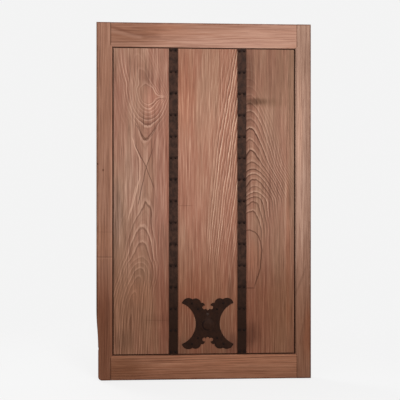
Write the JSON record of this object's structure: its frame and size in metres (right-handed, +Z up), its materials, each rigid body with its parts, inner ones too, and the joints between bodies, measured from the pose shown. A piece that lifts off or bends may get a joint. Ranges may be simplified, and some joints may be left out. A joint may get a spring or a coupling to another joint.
{
  "type": "sliding storehouse door leaf",
  "caption": "Tall wooden sliding door leaf: chamfered stile-and-rail frame, wide boards, nailed iron straps over the joints and an X-shaped lock plate with a swinging keyhole cover.",
  "frame": {"origin": "on the sill's running line, in the middle of the leaf's width and thickness, where the rollers touch", "axes": "+X along the sill to the right as seen from the front, +Y from the front to the back, +Z up"},
  "size_m": [1.06, 0.0483, 1.761],
  "materials": {
    "frame_wood": "dry, worn reddish-brown hardwood with straight grain",
    "board_wood": "dry reddish-brown hardwood with bold arched grain",
    "back_wood": "dry, darker hardwood, planed and unfinished",
    "iron": "dark brown-black forged iron with old rust",
    "nail_iron": "forged nail iron, dark, worn on the crowns"
  },
  "bodies": {
    "leaf": {"left_stile": "frame_wood", "right_stile": "frame_wood", "top_rail": "frame_wood", "bottom_rail": "frame_wood", "left_board": "board_wood", "middle_board": "board_wood", "right_board": "board_wood", "batten_1": "back_wood", "batten_2": "back_wood", "batten_3": "back_wood", "batten_4": "back_wood", "batten_5": "back_wood", "tenon_wedges": "back_wood", "left_strap": "iron", "right_strap": "iron", "left_strap_nails": "nail_iron", "right_strap_nails": "nail_iron", "lock_plate": "iron", "lock_plate_nails": "nail_iron", "cover_rivet": "nail_iron", "upper_keeper": "iron", "lower_keeper": "iron", "keeper_nails": "nail_iron", "left_axle": "nail_iron", "right_axle": "nail_iron"},
    "cover": {"keyhole_cover": "iron"},
    "bolt": {"drop_bolt": "back_wood"},
    "left_wheel": {"left_roller": "iron"},
    "right_wheel": {"right_roller": "iron"}
  },
  "joints": [
    {"name": "cover_swing", "type": "hinge", "parent": "leaf", "child": "cover", "pos_m": [0.0166, -0.0203, 0.327], "axis": [0, 1, 0], "range_deg": [-65, 65]},
    {"name": "bolt_drop", "type": "slide", "parent": "leaf", "child": "bolt", "axis": [0, 0, 1], "range_m": [-0.03, 0]},
    {"name": "left_roller_spin", "type": "hinge", "parent": "leaf", "child": "left_wheel", "pos_m": [-0.38, 0, 0.0225], "axis": [0, 1, 0], "continuous": true},
    {"name": "right_roller_spin", "type": "hinge", "parent": "leaf", "child": "right_wheel", "pos_m": [0.38, 0, 0.0225], "axis": [0, 1, 0], "continuous": true}
  ]
}
